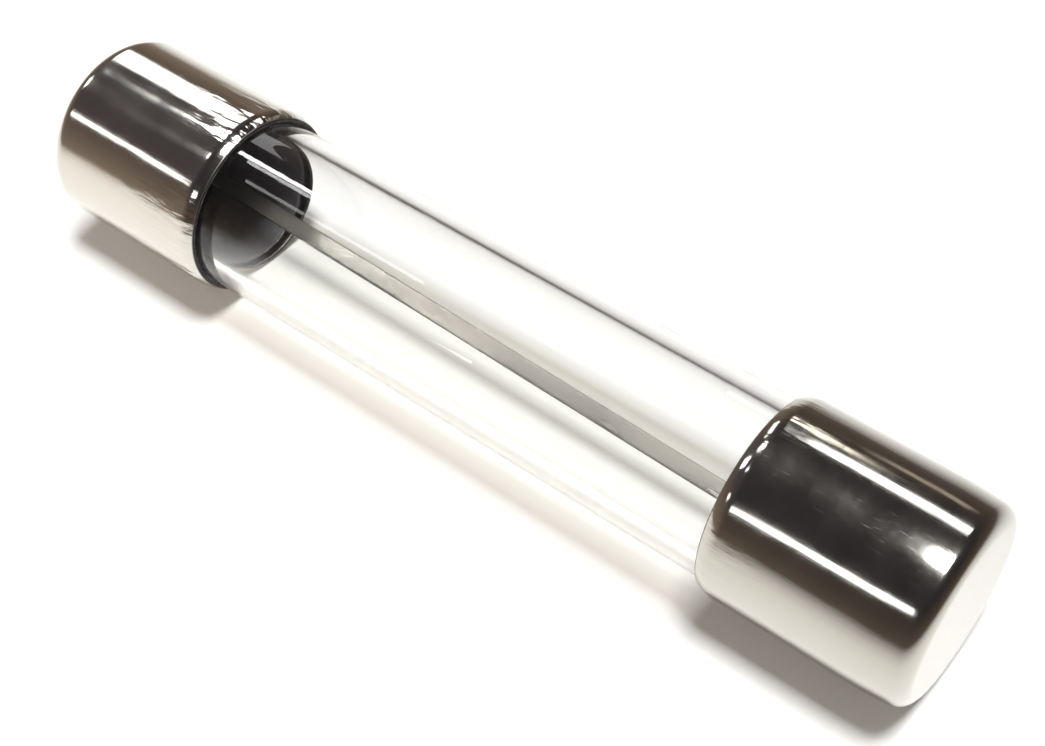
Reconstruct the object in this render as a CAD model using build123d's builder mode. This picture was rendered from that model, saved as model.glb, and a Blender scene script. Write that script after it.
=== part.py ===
"""Glass cartridge fuse, quarter-inch class: a glass tube between two plated caps, with a slightly
twisted fuse strip soldered into both of them.

The fuse lies along X with its centre at the origin, and +Z is up. Lengths are in millimetres.
"""

from build123d import *
from math import cos, radians, sin
import os

# Driving dimensions of the standard 6.3 x 32 size
overall_length = 32.0
cap_diameter = 6.3
cap_length = 6.5
cap_wall = 0.25
cap_end_thickness = 0.35
cap_corner_radius = 0.55
cap_inside_corner_radius = 0.3
lip_outside_radius = 0.2
lip_inside_radius = 0.04

glass_wall = 0.55
glass_end_radius = 0.18
cement_thickness = 0.05
cement_length = 4.0
cement_setback = 0.3

solder_under_glass = 0.25
solder_wall_climb = 0.55
solder_pool_depth = 0.3
solder_pool_radius = 1.7
solder_cone_height = 0.9
solder_cone_foot_radius = 0.85
solder_cone_tip_radius = 0.4

strip_width = 0.6
strip_thickness = 0.12
strip_start_angle = 8.0
strip_twist = 14.0
strip_twist_sections = 15
strip_tail_length = 1.6
solder_under_strip = 0.12

# Where the strip leaves each cap, as (y, z) from the fuse's axis: it hangs below the axis and slopes
strip_anchor = {"left": (0.59, -0.77), "right": (0.16, -1.38)}

# Worked-out sizes
end_x = overall_length / 2
mouth_x = end_x - cap_length
cap_radius = cap_diameter / 2
cap_bore_radius = cap_radius - cap_wall
cap_floor_x = end_x - cap_end_thickness

glass_radius = cap_bore_radius - cement_thickness
glass_bore_radius = glass_radius - glass_wall
glass_end_x = cap_floor_x - solder_under_glass

strip_end_x = cap_floor_x - solder_under_strip
strip_twist_end_x = strip_end_x - strip_tail_length

sides = {"left": -1, "right": 1}


def outward_plane(side):
    """The lengthwise section plane: local x runs outwards along the fuse, local y is the radius."""
    return Plane(origin=(0, 0, 0), x_dir=(side, 0, 0), z_dir=(0, 0, side))


def strip_section_plane(share):
    """The strip's cross-section plane at a share of the way from left to right, with the strip's width
    along its local x."""
    (left_y, left_z), (right_y, right_z) = strip_anchor["left"], strip_anchor["right"]
    centre = (
        strip_twist_end_x * (2 * share - 1),
        left_y + (right_y - left_y) * share,
        left_z + (right_z - left_z) * share,
    )
    angle = radians(strip_start_angle + strip_twist * share)
    return Plane(origin=centre, x_dir=(0, cos(angle), sin(angle)), z_dir=(1, 0, 0))


def write(builder, node):
    """Labels a finished piece and writes it under its node name."""
    builder.part.label = node
    export_step(builder.part, f"parts/{node}.step")


os.makedirs("parts", exist_ok=True)

# Glass tube, open at both ends, with fire-polished rims
with BuildPart() as glass_tube:
    with BuildSketch(Plane.XY):
        with BuildLine():
            FilletPolyline(
                (-glass_end_x, glass_bore_radius),
                (glass_end_x, glass_bore_radius),
                (glass_end_x, glass_radius),
                (-glass_end_x, glass_radius),
                radius=glass_end_radius,
                close=True,
            )
        make_face()
    revolve(axis=Axis.X)
write(glass_tube, "glass_tube")

# Fuse strip: a flat ribbon with a slow twist between two straight tails
with BuildPart() as fuse_strip:
    for section in range(strip_twist_sections):
        with BuildSketch(strip_section_plane(section / (strip_twist_sections - 1))):
            Rectangle(strip_width, strip_thickness)
    loft(ruled=True)
    twisted_ends = fuse_strip.faces().sort_by(Axis.X)
    extrude(twisted_ends[0], amount=strip_tail_length)
    extrude(twisted_ends[-1], amount=strip_tail_length)
write(fuse_strip, "fuse_strip")

for side_name, side in sides.items():
    # End cap: a drawn cup with a flat end, a rounded corner and a rounded lip at its mouth
    with BuildPart() as end_cap:
        with BuildSketch(outward_plane(side)):
            with BuildLine():
                FilletPolyline(
                    (mouth_x, cap_bore_radius),
                    (mouth_x, cap_radius),
                    (end_x, cap_radius),
                    (end_x, 0),
                    (cap_floor_x, 0),
                    (cap_floor_x, cap_bore_radius),
                    radius=(
                        lip_inside_radius,
                        lip_outside_radius,
                        cap_corner_radius,
                        0,
                        0,
                        cap_inside_corner_radius,
                    ),
                    close=True,
                )
            make_face()
        revolve(axis=Axis.X)
    write(end_cap, f"end_cap_{side_name}")

    # Cap cement: a thin sleeve that bonds the cap to the outside of the glass
    cement_start_x = mouth_x + cement_setback
    with BuildPart() as cap_cement:
        with BuildSketch(outward_plane(side)):
            with BuildLine():
                Polyline(
                    (cement_start_x, glass_radius),
                    (cement_start_x + cement_length, glass_radius),
                    (cement_start_x + cement_length, cap_bore_radius),
                    (cement_start_x, cap_bore_radius),
                    close=True,
                )
            make_face()
        revolve(axis=Axis.X)
    write(cap_cement, f"cap_cement_{side_name}")

    # Solder joint: a pool on the cap's floor that seats the glass, climbs its bore and grips the strip
    strip_y, strip_z = strip_anchor[side_name]
    solder_foot_radius = cap_bore_radius - cap_inside_corner_radius
    pool_x = glass_end_x - solder_pool_depth
    wall_climb_x = pool_x - solder_wall_climb
    cone_tip_x = pool_x - solder_cone_height
    with BuildPart() as solder_joint:
        with BuildSketch(outward_plane(side)):
            with BuildLine():
                Polyline(
                    (pool_x, solder_pool_radius),
                    (pool_x, 0),
                    (cap_floor_x, 0),
                    (cap_floor_x, solder_foot_radius),
                    (glass_end_x, solder_foot_radius),
                    (glass_end_x, glass_bore_radius),
                    (wall_climb_x, glass_bore_radius),
                )
                Spline(
                    (wall_climb_x, glass_bore_radius),
                    (pool_x, solder_pool_radius),
                    tangents=((1, -0.3), (0, -1)),
                )
            make_face()
        revolve(axis=Axis.X)
        with BuildSketch(outward_plane(side).offset(side * strip_z)):
            with BuildLine():
                Polyline(
                    (cone_tip_x, strip_y + solder_cone_tip_radius),
                    (cone_tip_x, strip_y),
                    (glass_end_x, strip_y),
                    (glass_end_x, strip_y + solder_cone_foot_radius),
                    (pool_x, strip_y + solder_cone_foot_radius),
                )
                Spline(
                    (cone_tip_x, strip_y + solder_cone_tip_radius),
                    (pool_x, strip_y + solder_cone_foot_radius),
                    tangents=((1, 0.2), (0, 1)),
                )
            make_face()
        revolve(axis=Axis((0, strip_y, strip_z), (1, 0, 0)))
        add(fuse_strip.part, mode=Mode.SUBTRACT)
    write(solder_joint, f"solder_joint_{side_name}")
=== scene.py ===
"""Looks for the glass cartridge fuse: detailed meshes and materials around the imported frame.

Everything is in metres, in the frame's own axes: the fuse lies along X with its centre at the origin,
end_cap_right is towards +X, and Z is up. Angles round the fuse's axis start at +Y and turn towards up.
"""

import math

import bpy
from mathutils import Matrix, Vector, noise


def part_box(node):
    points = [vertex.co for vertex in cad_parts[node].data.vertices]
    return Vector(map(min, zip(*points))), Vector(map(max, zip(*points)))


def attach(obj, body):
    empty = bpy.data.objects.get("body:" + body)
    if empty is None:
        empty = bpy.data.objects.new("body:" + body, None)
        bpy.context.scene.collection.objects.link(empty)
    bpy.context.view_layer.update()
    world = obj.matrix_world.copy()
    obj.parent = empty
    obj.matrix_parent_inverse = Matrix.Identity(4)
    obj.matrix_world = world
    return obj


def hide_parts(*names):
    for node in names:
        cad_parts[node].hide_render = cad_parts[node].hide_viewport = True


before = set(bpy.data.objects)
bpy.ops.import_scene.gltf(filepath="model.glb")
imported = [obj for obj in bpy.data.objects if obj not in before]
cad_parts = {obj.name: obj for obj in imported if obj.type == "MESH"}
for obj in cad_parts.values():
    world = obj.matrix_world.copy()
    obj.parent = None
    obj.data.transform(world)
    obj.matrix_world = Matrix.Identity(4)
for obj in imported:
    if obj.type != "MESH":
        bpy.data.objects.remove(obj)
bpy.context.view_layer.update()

MM = 0.001

# ---------------------------------------------------------------- sizes

cap_low, cap_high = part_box("end_cap_right")
glass_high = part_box("glass_tube")[1]
cement_low, cement_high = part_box("cap_cement_right")
solder_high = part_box("solder_joint_right")[1]
strip_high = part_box("fuse_strip")[1]

end_x = cap_high.x
mouth_x = cap_low.x
cap_radius = cap_high.z
floor_z = cap_low.z
glass_end_x = glass_high.x
glass_radius = glass_high.z
cap_bore_radius = cement_high.z
cement_start_x = cement_low.x
cement_end_x = cement_high.x
cap_floor_x = solder_high.x
solder_foot_radius = solder_high.z
strip_end_x = strip_high.x

# Sizes inside the fuse, the same as the frame's
glass_wall = 0.55 * MM
glass_rim_radius = 0.18 * MM
glass_bore_radius = glass_radius - glass_wall
cap_corner_radius = 0.55 * MM
cap_inside_corner_radius = 0.3 * MM
solder_pool_depth = 0.3 * MM
solder_pool_radius = 1.7 * MM
solder_cone_height = 0.9 * MM
solder_cone_foot_radius = 0.85 * MM
solder_cone_tip_radius = 0.4 * MM
solder_wall_climb = 0.55 * MM
strip_half_width = 0.3 * MM
strip_half_thickness = 0.06 * MM
strip_twist_end_x = strip_end_x - 1.6 * MM
strip_start_angle = 8.0
strip_twist = 14.0
strip_anchor = {"left": (0.59 * MM, -0.77 * MM), "right": (0.16 * MM, -1.38 * MM)}

# Details finer than the frame's
mouth_edge_radius = 0.07 * MM
mouth_inside_radius = 0.04 * MM
mouth_taper_length = 0.5 * MM
mouth_taper_drop = 0.115 * MM
crown_length = 1.3 * MM
crown_drops = {"left": 0.0, "right": 0.06 * MM}
cement_raggedness = 0.06 * MM
cement_wetting = 0.003 * MM
strip_curl_height = 0.03 * MM
strip_curl_middle = -1.7 * MM
strip_curl_reach = 3.0 * MM
strip_sway = 0.012 * MM
solder_dent = 0.05 * MM

# Spacing of the rings on a cap's flat faces: the ring nearest the middle, and the gap beside the corner
pole_ring_radius = 0.4 * MM
corner_margin = 0.2 * MM

ROUND_SEGMENTS = 256
# The angle round the axis at which a cap was gripped
GRIP_ANGLE = 212.0


# ---------------------------------------------------------------- mesh helpers

def arc(centre_x, centre_r, radius, start_degrees, end_degrees, steps=10):
    """Points (x, r) on a circular arc of a turned profile."""
    points = []
    for step in range(steps + 1):
        angle = math.radians(start_degrees + (end_degrees - start_degrees) * step / steps)
        points.append((centre_x + radius * math.cos(angle), centre_r + radius * math.sin(angle)))
    return points


def line(start, end, steps):
    """Evenly spaced points (x, r) from start to end, without the last one."""
    (x0, r0), (x1, r1) = start, end
    return [(x0 + (x1 - x0) * k / steps, r0 + (r1 - r0) * k / steps) for k in range(steps)]


def round_axis(angle_degrees, distance, along=0.0):
    """A point at an angle round the fuse's axis: 0 is +Y, 90 is up and 180 is -Y."""
    angle = math.radians(angle_degrees)
    return Vector((along, distance * math.cos(angle), distance * math.sin(angle)))


def new_object(name, data):
    piece = bpy.data.objects.new(name, data)
    bpy.context.scene.collection.objects.link(piece)
    return piece


def rings_object(name, rings, closed=False, inward=False):
    """A mesh from rings of points that all have the same length, or one point for a pole. closed joins
    the last ring to the first. inward turns the faces round."""
    vertices = [point for ring in rings for point in ring]
    starts = [sum(len(ring) for ring in rings[:k]) for k in range(len(rings))]
    pairs = list(zip(range(len(rings)), range(1, len(rings))))
    if closed:
        pairs.append((len(rings) - 1, 0))
    count = max(len(ring) for ring in rings)
    faces = []
    for first, second in pairs:
        a, b = starts[first], starts[second]
        length_a, length_b = len(rings[first]), len(rings[second])
        for k in range(count):
            n = (k + 1) % count
            corners = [a + k % length_a, b + k % length_b, b + n % length_b, a + n % length_a]
            face = list(dict.fromkeys(corners))
            if len(face) > 2:
                faces.append(face if inward else face[::-1])
    mesh = bpy.data.meshes.new(name)
    mesh.from_pydata(vertices, [], faces)
    mesh.shade_smooth()
    mesh.update()
    return new_object(name, mesh)


def turned(name, profile, closed=False, side=1, wobble=None):
    """A solid of revolution about X from a profile of (x, r) points. A point with r = 0 is a pole.
    side = -1 mirrors it to the other end. wobble(point index, turn) gives small (x, r) shifts."""
    rings = []
    for index, (x, r) in enumerate(profile):
        if r == 0:
            rings.append([(side * x, 0, 0)])
            continue
        ring = []
        for k in range(ROUND_SEGMENTS):
            turn = 2 * math.pi * k / ROUND_SEGMENTS
            shift_x, shift_r = wobble(index, turn) if wobble else (0, 0)
            radius = r + shift_r
            ring.append((side * (x + shift_x), radius * math.cos(turn), radius * math.sin(turn)))
        rings.append(ring)
    return rings_object(name, rings, closed, inward=side < 0)


def fit_out(piece, material, node):
    """Gives a finished piece its material and its place in the frame."""
    piece.data.materials.append(material)
    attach(piece, "root")
    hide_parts(node)


# ---------------------------------------------------------------- node helpers

def new_material(name):
    material = bpy.data.materials.new(name)
    material.use_nodes = True
    material.node_tree.nodes.clear()
    return material


class Nodes:
    """Adds nodes to one tree with short calls."""

    def __init__(self, tree):
        self.tree = tree

    def add(self, kind, settings=(), **inputs):
        node = self.tree.nodes.new(kind)
        for key, value in dict(settings).items():
            setattr(node, key, value)
        for key, value in inputs.items():
            self.put(node.inputs[key.replace("_", " ")], value)
        return node

    def put(self, socket, value):
        if isinstance(value, bpy.types.NodeSocket):
            self.tree.links.new(value, socket)
        else:
            socket.default_value = value

    def place(self, scale=(1, 1, 1)):
        """Object coordinates in millimetres, stretched by scale."""
        coordinates = self.add("ShaderNodeTexCoord")
        mapping = self.add("ShaderNodeMapping", Vector=coordinates.outputs["Object"])
        mapping.inputs["Scale"].default_value = [s / MM for s in scale]
        return mapping.outputs["Vector"]

    def noise(self, vector, scale, detail=2.0, roughness=0.5):
        texture = self.add(
            "ShaderNodeTexNoise", Vector=vector, Scale=scale, Detail=detail, Roughness=roughness
        )
        return texture.outputs["Fac"]

    def spread(self, value, low_in, high_in, low_out, high_out):
        """Maps value from the range low_in to high_in onto low_out to high_out, held at both ends."""
        node = self.add("ShaderNodeMapRange", Value=value)
        node.inputs["From Min"].default_value = low_in
        node.inputs["From Max"].default_value = high_in
        node.inputs["To Min"].default_value = low_out
        node.inputs["To Max"].default_value = high_out
        return node.outputs["Result"]

    def maths(self, operation, a, b=0.0):
        node = self.add("ShaderNodeMath", {"operation": operation})
        self.put(node.inputs[0], a)
        self.put(node.inputs[1], b)
        return node.outputs[0]

    def mix_colour(self, factor, a, b):
        node = self.add("ShaderNodeMix", {"data_type": "RGBA"})
        self.put(node.inputs[0], factor)
        self.put(node.inputs[6], a)
        self.put(node.inputs[7], b)
        return node.outputs[2]

    def mix_shader(self, factor, a, b):
        node = self.add("ShaderNodeMixShader")
        self.put(node.inputs[0], factor)
        self.put(node.inputs[1], a)
        self.put(node.inputs[2], b)
        return node.outputs[0]

    def bump(self, height, distance, normal=None):
        node = self.add("ShaderNodeBump", Height=height, Distance=distance)
        if normal is not None:
            self.put(node.inputs["Normal"], normal)
        return node.outputs["Normal"]

    def surface(self, shader):
        self.add("ShaderNodeOutputMaterial", Surface=shader)


# ---------------------------------------------------------------- materials

def cap_plating(name, brightness, crinkle_from, crinkle_to, crinkle_depth):
    """Bright nickel on drawn brass. Its crinkles grow from none at crinkle_from to full at crinkle_to,
    both distances along X in millimetres, on the two sides where the cap was gripped. crinkle_depth is
    in millimetres too. The sheared edge round the mouth is dull, and its near-black colour is painted shade
    along the lip."""
    material = new_material(name)
    nodes = Nodes(material.node_tree)
    place = nodes.place()
    drawn = nodes.place((0.1, 1, 1))
    along = nodes.add("ShaderNodeSeparateXYZ", Vector=place).outputs["X"]

    bright = (brightness, 0.98 * brightness, 0.90 * brightness, 1)
    dull = (0.92 * brightness, 0.89 * brightness, 0.80 * brightness, 1)
    colour = nodes.mix_colour(nodes.noise(place, 0.45, 3.0), bright, dull)
    pits = nodes.spread(nodes.noise(place, 9.0, 4.0, 0.7), 0.68, 0.76, 0.0, 0.5)
    colour = nodes.mix_colour(pits, colour, (0.38, 0.29, 0.19, 1))
    from_middle = nodes.maths("ABSOLUTE", along)
    edge_x = mouth_x / MM
    # A thin band at the mouth's edge: its near-black colour is painted shade along the lip, and its extra
    # roughness is the dull sheared edge.
    sheared_edge_and_shade = nodes.spread(from_middle, edge_x + 0.02, edge_x + 0.06, 1.0, 0.0)
    colour = nodes.mix_colour(sheared_edge_and_shade, colour, (0.055, 0.05, 0.05, 1))

    smear = nodes.noise(place, 1.1, 5.0, 0.62)
    roughness = nodes.spread(smear, 0.35, 0.75, 0.085, 0.14)
    scratch = nodes.noise(nodes.place((0.7, 9, 9)), 2.2, 2.0)
    roughness = nodes.maths("ADD", roughness, nodes.spread(scratch, 0.66, 0.74, 0.0, 0.06))
    roughness = nodes.maths("ADD", roughness, nodes.maths("MULTIPLY", sheared_edge_and_shade, 0.4))

    gripped = nodes.add("ShaderNodeVectorMath", {"operation": "DOT_PRODUCT"})
    nodes.put(gripped.inputs[0], place)
    gripped.inputs[1].default_value = round_axis(GRIP_ANGLE, 1.0)
    off_middle = nodes.maths("ABSOLUTE", gripped.outputs["Value"])
    amount = nodes.spread(along, crinkle_from, crinkle_to, 0.0, 1.0)
    amount = nodes.maths("MULTIPLY", amount, nodes.spread(off_middle, 0.5, 1.5, 0.0, 1.0))
    crinkle = nodes.maths("MULTIPLY", nodes.noise(nodes.place((0.22, 1, 1)), 3.2, 2.0, 0.45), amount)
    normal = nodes.bump(nodes.noise(nodes.place((0.3, 1, 1)), 0.5, 1.0), 0.006 * MM)
    normal = nodes.bump(crinkle, crinkle_depth * MM, normal)
    normal = nodes.bump(nodes.noise(drawn, 8.0, 3.0), 0.0005 * MM, normal)
    normal = nodes.bump(scratch, 0.0006 * MM, normal)
    shader = nodes.add(
        "ShaderNodeBsdfPrincipled", Base_Color=colour, Roughness=roughness, Metallic=1.0, Normal=normal
    )
    nodes.surface(shader.outputs[0])
    return material


def clear_glass():
    """Clear drawn glass. Light that goes straight through to a surface is dimmed more by its edges."""
    material = new_material("clear_glass")
    nodes = Nodes(material.node_tree)
    ripple = nodes.bump(nodes.noise(nodes.place((0.1, 1, 1)), 0.6, 0.0), 0.001 * MM)
    scratch = nodes.spread(nodes.noise(nodes.place((0.5, 6, 6)), 2.0, 2.0), 0.68, 0.74, 0.0, 1.0)
    ripple = nodes.bump(scratch, 0.0002 * MM, ripple)
    shader = nodes.add(
        "ShaderNodeBsdfPrincipled",
        Base_Color=(0.995, 1.0, 0.995, 1),
        Roughness=0.0,
        IOR=1.5,
        Transmission_Weight=1.0,
        Normal=ripple,
    )
    facing = nodes.add("ShaderNodeLayerWeight", Blend=0.5)
    steepness = nodes.spread(facing.outputs["Facing"], 0.25, 0.75, 0.0, 1.0)
    shade = nodes.mix_colour(steepness, (0.985, 0.985, 0.975, 1), (0.66, 0.64, 0.60, 1))
    shadow = nodes.add("ShaderNodeBsdfTransparent", Color=shade)
    path = nodes.add("ShaderNodeLightPath")
    straight = nodes.maths("MAXIMUM", path.outputs["Is Shadow Ray"], path.outputs["Is Diffuse Ray"])
    nodes.surface(nodes.mix_shader(straight, shader.outputs[0], shadow.outputs[0]))
    return material


def fuse_metal():
    """Rolled fuse alloy with a thin dull oxide. The tube round it acts as a lens and spreads light into
    its shadow, so most of a shadow ray passes."""
    material = new_material("fuse_metal")
    nodes = Nodes(material.node_tree)
    grain = nodes.noise(nodes.place((0.12, 1, 1)), 16.0, 4.0)
    stain = nodes.noise(nodes.place((0.4, 1, 1)), 0.8, 0.0)
    colour = nodes.mix_colour(grain, (0.34, 0.325, 0.295, 1), (0.27, 0.255, 0.23, 1))
    colour = nodes.mix_colour(nodes.spread(stain, 0.3, 0.8, 0.0, 0.4), colour, (0.22, 0.20, 0.175, 1))
    roughness = nodes.spread(stain, 0.3, 0.7, 0.26, 0.30)
    shader = nodes.add(
        "ShaderNodeBsdfPrincipled",
        Base_Color=colour,
        Roughness=roughness,
        Metallic=1.0,
        Normal=nodes.bump(grain, 0.0015 * MM),
    )
    path = nodes.add("ShaderNodeLightPath")
    spread_light = nodes.maths("MULTIPLY", path.outputs["Is Shadow Ray"], 0.7)
    clear = nodes.add("ShaderNodeBsdfTransparent")
    nodes.surface(nodes.mix_shader(spread_light, shader.outputs[0], clear.outputs[0]))
    return material


def soft_solder():
    """Frozen soft solder: bright but grainy, with duller dross in patches."""
    material = new_material("soft_solder")
    nodes = Nodes(material.node_tree)
    place = nodes.place()
    dross = nodes.spread(nodes.noise(place, 1.6, 4.0, 0.6), 0.48, 0.66, 0.0, 1.0)
    colour = nodes.mix_colour(dross, (0.66, 0.65, 0.62, 1), (0.40, 0.38, 0.34, 1))
    roughness = nodes.spread(dross, 0.0, 1.0, 0.26, 0.55)
    normal = nodes.bump(nodes.noise(place, 2.0, 2.0), 0.03 * MM)
    normal = nodes.bump(nodes.noise(place, 14.0, 4.0), 0.004 * MM, normal)
    shader = nodes.add(
        "ShaderNodeBsdfPrincipled", Base_Color=colour, Roughness=roughness, Metallic=1.0, Normal=normal
    )
    nodes.surface(shader.outputs[0])
    return material


def sealing_cement():
    """Dark grey cement, matt and slightly granular."""
    material = new_material("sealing_cement")
    nodes = Nodes(material.node_tree)
    place = nodes.place()
    mottle = nodes.noise(place, 1.8, 4.0, 0.6)
    colour = nodes.mix_colour(mottle, (0.13, 0.13, 0.145, 1), (0.085, 0.084, 0.095, 1))
    normal = nodes.bump(nodes.noise(place, 12.0, 5.0, 0.65), 0.01 * MM)
    shader = nodes.add(
        "ShaderNodeBsdfPrincipled",
        Base_Color=colour,
        Roughness=nodes.spread(mottle, 0.3, 0.7, 0.5, 0.7),
        Normal=normal,
    )
    nodes.surface(shader.outputs[0])
    return material


def pale_sheet():
    """White sheet. Seen in a reflection or through the glass it fades out away from the fuse, as a lit
    sheet does in a dim room. The lit part reaches further on the left."""
    material = new_material("pale_sheet")
    nodes = Nodes(material.node_tree)
    split = nodes.add("ShaderNodeSeparateXYZ", Vector=nodes.place())
    past_ends = nodes.maths("SUBTRACT", nodes.maths("ABSOLUTE", split.outputs["X"]), end_x / MM)
    past_ends = nodes.maths("MAXIMUM", past_ends)
    beside = split.outputs["Y"]
    squares = nodes.maths("ADD", nodes.maths("POWER", past_ends, 2.0), nodes.maths("POWER", beside, 2.0))
    reach = nodes.spread(split.outputs["X"], -20.0, 12.0, 34.0, 19.0)
    fade = nodes.maths("DIVIDE", squares, nodes.maths("ADD", squares, nodes.maths("POWER", reach, 2.0)))
    path = nodes.add("ShaderNodeLightPath")
    indirect = nodes.maths("MAXIMUM", path.outputs["Is Glossy Ray"], path.outputs["Is Transmission Ray"])
    fibres = nodes.noise(nodes.place(), 2.0, 5.0)
    white = nodes.mix_colour(fibres, (0.90, 0.90, 0.895, 1), (0.88, 0.88, 0.875, 1))
    paper = nodes.add("ShaderNodeBsdfDiffuse", Color=white)
    clear = nodes.add("ShaderNodeBsdfTransparent")
    faded = nodes.maths("MULTIPLY", indirect, fade)
    nodes.surface(nodes.mix_shader(faded, paper.outputs[0], clear.outputs[0]))
    return material


def dark_card():
    """A dark brown that gives off its own dim light, so that nothing else lights it."""
    material = new_material("dark_card")
    nodes = Nodes(material.node_tree)
    nodes.surface(nodes.add("ShaderNodeEmission", Color=(0.06, 0.05, 0.042, 1)).outputs[0])
    return material


# ---------------------------------------------------------------- the pieces

def make_glass_tube(material):
    rim = glass_rim_radius
    far_x = glass_end_x - rim
    profile = line((-far_x, glass_radius), (far_x, glass_radius), 60)
    profile += arc(far_x, glass_radius - rim, rim, 90, 0)
    profile += arc(far_x, glass_bore_radius + rim, rim, 0, -90)[:-1]
    profile += line((far_x, glass_bore_radius), (-far_x, glass_bore_radius), 60)
    profile += arc(-far_x, glass_bore_radius + rim, rim, -90, -180)
    profile += arc(-far_x, glass_radius - rim, rim, 180, 90)[:-1]
    tube = turned("glass_tube_clear", profile, closed=True)
    fit_out(tube, material, "glass_tube")


def cap_profile(crown_drop):
    """The end cap's section from the middle of its floor, round its mouth, to the middle of its end.
    crown_drop is how much its side curves in before the corner."""
    corner, inner = cap_corner_radius, cap_inside_corner_radius
    edge, inside = mouth_edge_radius, mouth_inside_radius
    taper_start_x = mouth_x + mouth_taper_length
    taper_slope = math.degrees(math.atan(2 * mouth_taper_drop / mouth_taper_length))
    edge_r = cap_radius - mouth_taper_drop - edge

    profile = [(cap_floor_x, 0.0)]
    profile += line((cap_floor_x, pole_ring_radius), (cap_floor_x, cap_bore_radius - inner), 8)
    profile += arc(cap_floor_x - inner, cap_bore_radius - inner, inner, 0, 90)[:-1]
    profile += line((cap_floor_x - inner, cap_bore_radius), (mouth_x + inside, cap_bore_radius), 40)
    profile += arc(mouth_x + inside, cap_bore_radius + inside, inside, 270, 180, 4)
    profile += arc(mouth_x + edge, edge_r, edge, 180, 90 + taper_slope, 8)
    taper_x, taper_r = profile[-1]
    taper_steps, crown_steps = 20, 12
    for step in range(1, taper_steps):
        share = step / taper_steps
        x = taper_x + (taper_start_x - taper_x) * share
        profile.append((x, taper_r + (cap_radius - taper_r) * (1 - (1 - share) ** 2)))
    crown_start_x = end_x - corner - crown_length
    profile += line((taper_start_x, cap_radius), (crown_start_x, cap_radius), 40)
    for step in range(crown_steps):
        share = step / crown_steps
        profile.append((crown_start_x + crown_length * share, cap_radius - crown_drop * share ** 2))
    crown_angle = math.degrees(math.atan(2 * crown_drop / crown_length))
    profile += arc(end_x - corner, cap_radius - crown_drop - corner, corner, 90 - crown_angle, 0, 16)
    flat_edge_r = cap_radius - crown_drop - corner - corner_margin
    profile += line((end_x, flat_edge_r), (end_x, pole_ring_radius), 10)
    profile += [(end_x, pole_ring_radius), (end_x, 0.0)]
    return profile


def make_end_cap(side_name, side, material):
    cap = turned(f"end_cap_{side_name}_plated", cap_profile(crown_drops[side_name]), side=side)
    fit_out(cap, material, f"end_cap_{side_name}")


def make_cap_cement(side_name, side, material):
    """A sleeve whose edges were left a little ragged when it was wiped. It reaches a hair into the glass
    and stays a hair inside the cap."""
    inner, outer = glass_radius - cement_wetting, cap_bore_radius - cement_wetting
    steps = 30
    length = cement_end_x - cement_start_x
    middle_x = (cement_start_x + cement_end_x) / 2
    profile = line((cement_start_x, outer), (cement_end_x, outer), steps) + [(cement_end_x, outer)]
    profile += line((cement_end_x, inner), (cement_start_x, inner), steps) + [(cement_start_x, inner)]

    def ragged(index, turn):
        x = profile[index][0]
        at_far_edge = x > middle_x
        inwards = -1 if at_far_edge else 1
        nearness = abs(2 * (x - cement_start_x) / length - 1) ** 8
        spot = Vector((3 * math.cos(turn), 3 * math.sin(turn), side * 7.0 + at_far_edge))
        return inwards * cement_raggedness * nearness * (0.5 + noise.noise(spot * 2)), 0

    cement = turned(f"cap_cement_{side_name}_sleeve", profile, closed=True, side=side, wobble=ragged)
    fit_out(cement, material, f"cap_cement_{side_name}")


def strip_place(share):
    """The strip's centre (y, z) and the angle of its width, at a share of the way from left to right."""
    (left_y, left_z), (right_y, right_z) = strip_anchor["left"], strip_anchor["right"]
    y = left_y + (right_y - left_y) * share
    z = left_z + (right_z - left_z) * share
    return y, z, math.radians(strip_start_angle + strip_twist * share)


def strip_section(corner=8.0, points=48):
    """The strip's rounded rectangle as (width, thickness) points."""
    section = []
    for k in range(points):
        turn = 2 * math.pi * k / points
        c, s = math.cos(turn), math.sin(turn)
        section.append((
            strip_half_width * math.copysign(abs(c) ** (2 / corner), c),
            strip_half_thickness * math.copysign(abs(s) ** (2 / corner), s),
        ))
    return section


def make_fuse_strip(material):
    """A rolled ribbon. Near its middle one edge is curled up a little."""
    steps = 320
    rings = []
    for step in range(steps + 1):
        x = strip_end_x * (2 * step / steps - 1)
        share = min(max((x / strip_twist_end_x + 1) / 2, 0), 1)
        y, z, angle = strip_place(share)
        nearness = max(0.0, 1 - ((x - strip_curl_middle) / strip_curl_reach) ** 2) ** 2
        sway = strip_sway * noise.noise(Vector((x / MM * 0.35, 0.0, 4.0)))
        ring = []
        for width, thickness in strip_section():
            curl = strip_curl_height * nearness * max(0.0, -width / strip_half_width) ** 2
            out = thickness + curl + sway * (1 - abs(2 * share - 1))
            ring.append((
                x,
                y + width * math.cos(angle) - out * math.sin(angle),
                z + width * math.sin(angle) + out * math.cos(angle),
            ))
        rings.append(ring)
    first, last = rings[0], rings[-1]
    middle = [tuple(sum(p[axis] for p in ring) / len(ring) for axis in range(3)) for ring in (first, last)]
    strip = rings_object("fuse_strip_rolled", [[middle[0]]] + rings + [[middle[1]]], inward=True)
    fit_out(strip, material, "fuse_strip")


def solder_height(distance, from_axis):
    """How far the solder's surface stands proud of its pool, at a distance from the strip's centre and
    from the fuse's axis."""
    span = solder_cone_foot_radius - solder_cone_tip_radius
    share = min(max((distance - solder_cone_tip_radius) / span, 0.0), 1.0)
    cone = solder_cone_height * (1 - share) ** 2
    rise = min(max((from_axis - solder_pool_radius) / (glass_bore_radius - solder_pool_radius), 0.0), 1.0)
    meniscus = solder_wall_climb * rise ** 3
    return max(cone, meniscus)


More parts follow.
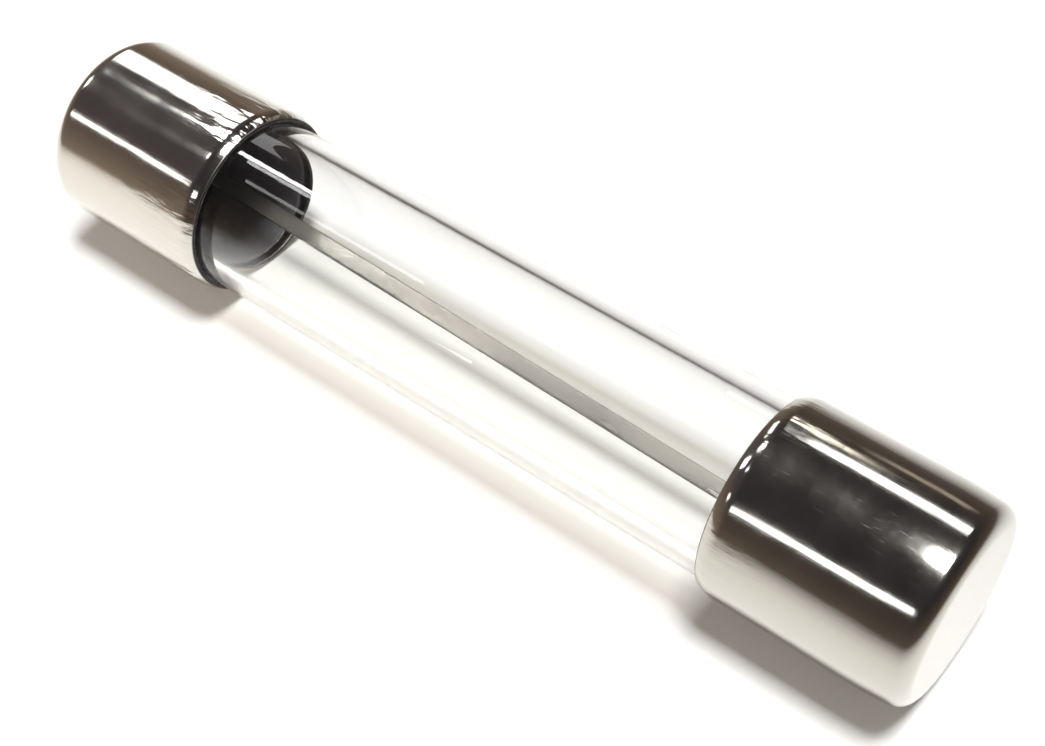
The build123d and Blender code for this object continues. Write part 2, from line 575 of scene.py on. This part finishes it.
def make_solder_joint(side_name, side, material):
    """Solder frozen round the strip's end: a pool that fills the cap's floor, climbs the glass and runs
    up the strip. Its rings go out from the strip: a socket that fits it, the cone, the pool, the wall."""
    share = (side + 1) / 2
    centre_y, centre_z, angle = strip_place(share)
    pool_x = glass_end_x - solder_pool_depth
    steps = 128
    reaches = []
    for k in range(steps):
        turn = 2 * math.pi * k / steps
        c, s = math.cos(turn), math.sin(turn)
        dot = centre_y * c + centre_z * s
        clear = glass_bore_radius ** 2 - centre_y ** 2 - centre_z ** 2
        wall = -dot + math.sqrt(dot ** 2 + clear)
        local = turn - angle
        socket = min(
            strip_half_width / max(abs(math.cos(local)), 1e-6),
            strip_half_thickness / max(abs(math.sin(local)), 1e-6),
        )
        reaches.append((c, s, socket, wall))

    def ring(x, distance_of, dented=False):
        """A ring at x round the strip's centre. A dented one lies on the solder's free surface instead."""
        points = []
        for c, s, socket, wall in reaches:
            distance = distance_of(socket, wall)
            y, z = centre_y + distance * c, centre_z + distance * s
            place_x = x
            if dented:
                dent = noise.noise(Vector((y, z, side * 0.01)) / MM * 1.4) * solder_dent
                calm = min(1.0, (wall - distance) / (0.3 * MM))
                place_x = pool_x - solder_height(distance, math.hypot(y, z)) + dent * calm
            points.append((side * place_x, y, z))
        return points

    tip_x = pool_x - solder_cone_height
    rings = [[(side * strip_end_x, centre_y, centre_z)]]
    rings += [ring(strip_end_x, lambda socket, wall: socket)]
    rings += [ring(tip_x + 0.03 * MM, lambda socket, wall: socket)]
    foot = solder_cone_foot_radius
    cone_steps, pool_steps = 24, 24
    for step in range(1, cone_steps + 1):
        rings.append(ring(0, lambda socket, wall: socket + (foot - socket) * step / cone_steps, dented=True))
    for step in range(1, pool_steps + 1):
        rings.append(ring(0, lambda socket, wall: foot + (wall - foot) * step / pool_steps, dented=True))
    rings.append(ring(glass_end_x, lambda socket, wall: wall))

    def round_ring(x, radius):
        return [(side * x, radius * c, radius * s) for c, s, socket, wall in reaches]

    rings.append(round_ring(glass_end_x, solder_foot_radius))
    rings.append(round_ring(cap_floor_x, solder_foot_radius))
    rings.append([(side * cap_floor_x, 0, 0)])
    joint = rings_object(f"solder_joint_{side_name}_cast", rings, inward=side < 0)
    fit_out(joint, material, f"solder_joint_{side_name}")


# ---------------------------------------------------------------- stage, light and camera

# The camera's place: along the fuse, out from its axis, and its height angle round that axis
camera_along = 23.018 * MM
camera_out = 47.351 * MM
camera_height_angle = 58.0
aim_along = 1.495 * MM
aim_below = 0.409 * MM
camera_roll = -3.645
camera_lens = 60.35

sheet_half_size = 0.5
card_distance = 0.8
card_radius = 0.2
card_direction = Vector((-0.43, 0.90, -0.04))


def make_camera():
    sight_angle = 180 - camera_height_angle
    place = round_axis(sight_angle, camera_out, camera_along)
    aim = round_axis(sight_angle + 90, aim_below, aim_along)
    data = bpy.data.cameras.new("camera")
    data.lens = camera_lens
    data.sensor_width = 36.0
    data.clip_start = 0.001
    data.clip_end = 5.0
    camera = new_object("camera", data)
    camera.location = place
    look = (aim - place).to_track_quat("-Z", "Y")
    camera.rotation_mode = "QUATERNION"
    camera.rotation_quaternion = look @ Matrix.Rotation(math.radians(camera_roll), 3, "Z").to_quaternion()
    bpy.context.scene.camera = camera


def make_sheet(material):
    """The white sheet that the fuse lies on."""
    steps = 40
    stops = [sheet_half_size * (2 * k / steps - 1) for k in range(steps + 1)]
    vertices = [(x, y, floor_z) for y in stops for x in stops]
    faces = []
    for j in range(steps):
        for i in range(steps):
            corner = j * (steps + 1) + i
            faces.append((corner, corner + 1, corner + steps + 2, corner + steps + 1))
    mesh = bpy.data.meshes.new("white_sheet")
    mesh.from_pydata(vertices, [], faces)
    sheet = new_object("white_sheet", mesh)
    sheet.data.materials.append(material)


def make_dark_card(material):
    """A round dark card far behind the fuse. Only light that comes through the glass shows it, as the
    dark line along the edge of the bore."""
    centre = card_direction.normalized() * card_distance
    side = card_direction.cross(Vector((0, 0, 1))).normalized()
    up = side.cross(card_direction).normalized()
    rim = []
    for k in range(48):
        turn = 2 * math.pi * k / 48
        rim.append(centre + card_radius * (side * math.cos(turn) + up * math.sin(turn)))
    mesh = bpy.data.meshes.new("dark_card")
    mesh.from_pydata(rim, [], [list(range(48))])
    card = new_object("dark_card", mesh)
    card.data.materials.append(material)
    card.visible_camera = False
    card.visible_diffuse = False
    card.visible_glossy = False
    card.visible_shadow = False


def make_world():
    """A dim brown room in reflections, a warm soft light on matt surfaces, and white behind the fuse."""
    world = bpy.data.worlds.new("room")
    bpy.context.scene.world = world
    world.use_nodes = True
    world.node_tree.nodes.clear()
    nodes = Nodes(world.node_tree)
    place = nodes.add("ShaderNodeTexCoord")
    split = nodes.add("ShaderNodeSeparateXYZ", Vector=place.outputs["Generated"])
    ramp = nodes.add("ShaderNodeValToRGB", Fac=split.outputs["Z"])
    stops = ramp.color_ramp.elements
    stops[0].position, stops[0].color = 0.0, (0.27, 0.21, 0.165, 1)
    stops[1].position, stops[1].color = 0.62, (0.074, 0.061, 0.067, 1)
    middle = stops.new(0.30)
    middle.color = (0.16, 0.118, 0.095, 1)
    dimness = nodes.spread(split.outputs["X"], -0.6, -0.2, 1.0, 0.42)
    room = nodes.add("ShaderNodeBackground", Color=ramp.outputs["Color"], Strength=dimness)
    white = nodes.add("ShaderNodeBackground", Color=(1.0, 1.0, 1.0, 1), Strength=1.2)
    soft = nodes.add("ShaderNodeBackground", Color=(1.0, 0.90, 0.79, 1), Strength=0.18)
    path = nodes.add("ShaderNodeLightPath")
    glossy = path.outputs["Is Glossy Ray"]
    lit_matt = nodes.maths("MULTIPLY", nodes.maths("GREATER_THAN", path.outputs["Diffuse Depth"], 0.5),
                           nodes.maths("SUBTRACT", 1.0, glossy))
    seen = nodes.mix_shader(glossy, white.outputs[0], room.outputs[0])
    shown = nodes.mix_shader(lit_matt, seen, soft.outputs[0])
    nodes.add("ShaderNodeOutputWorld", Surface=shown)


def area_light(name, place, target, size, power, colour=(1, 1, 1), along=None):
    """A rectangular soft light at place that faces target; size is (length along, width)."""
    data = bpy.data.lights.new(name, "AREA")
    data.shape = "RECTANGLE"
    data.size, data.size_y = size
    data.energy = power
    data.color = colour
    light = new_object(name, data)
    back = (place - target).normalized()
    side = along or Vector((1, 0, 0))
    side = (side - side.dot(back) * back).normalized()
    up = back.cross(side)
    light.matrix_world = Matrix((side, up, back)).transposed().to_4x4()
    light.location = place
    light.visible_camera = False
    return light


def mirrored_strip(name, target_along, ends, width, glow, colour=(1, 1, 1)):
    """A strip light that the fuse mirrors. ends are two (angle round the axis, slope along the axis)
    directions seen from target_along, width is in degrees and glow is its brightness."""
    distance = 0.4
    points = [round_axis(angle, distance, target_along + slope * distance) for angle, slope in ends]
    middle = (points[0] + points[1]) / 2
    run = points[1] - points[0]
    size = (run.length, distance * math.radians(width))
    power = glow * math.pi * size[0] * size[1]
    light = area_light(name, middle, Vector((target_along, 0, 0)), size, power, colour, run)
    light.visible_diffuse = False
    light.visible_transmission = False
    return light


def make_lights():
    overhead = area_light("overhead", round_axis(88, 1.0, 0.12), Vector((0, 0, 0)), (0.27, 0.27), 12)
    overhead.visible_transmission = False
    fill_place = Vector((-45 * MM, -45 * MM, 28 * MM))
    fill_target = Vector((-13 * MM, -3 * MM, 0))
    fill = area_light("left_fill", fill_place, fill_target, (0.03, 0.03), 0.010, (1, 0.86, 0.72))
    fill.visible_glossy = False
    fill.visible_transmission = False
    right, left, middle = 13 * MM, -13 * MM, -3 * MM
    mirrored_strip("right_window", right, ((46, -0.262), (47, 0.02)), 9, 4)
    mirrored_strip("right_high_window", right, ((32, -0.34), (32, -0.255)), 6, 4, (1, 0.92, 0.8))
    mirrored_strip("right_low_window", right, ((18, -0.23), (20, -0.08)), 5, 0.5, (1, 0.85, 0.7))
    mirrored_strip("right_front", right, ((147, -0.31), (145, 0.0)), 6, 4)
    mirrored_strip("left_window", left, ((43, -0.92), (43, -0.71)), 26, 2.6)
    mirrored_strip("left_front", left, ((141, -0.92), (141, -0.765)), 4, 5)
    lamp = mirrored_strip("lamp", middle, ((76, -0.74), (76, -0.50)), 5, 24)
    lamp.visible_transmission = True
    mirrored_strip("far_lamp", middle, ((105, -0.70), (105, -0.55)), 4, 4)
    mirrored_strip("lip_lamp", right, ((95, -1.5), (95, -1.15)), 14, 5)


bpy.context.scene.view_settings.view_transform = "Standard"

make_glass_tube(clear_glass())
make_fuse_strip(fuse_metal())
# Each cap's brightness, where its crinkles start and are full, and their depth. Both caps are the same
# nickel: the right cap's lower brightness is painted shade.
plating = {"left": (0.67, -12.8, -9.9, 0.05), "right": (0.61, 11.6, 9.8, 0.02)}
solder = soft_solder()
cement = sealing_cement()
for side_name, side in (("left", -1), ("right", 1)):
    make_end_cap(side_name, side, cap_plating(f"cap_plating_{side_name}", *plating[side_name]))
    make_cap_cement(side_name, side, cement)
    make_solder_joint(side_name, side, solder)

make_camera()
make_sheet(pale_sheet())
make_dark_card(dark_card())
make_world()
make_lights()
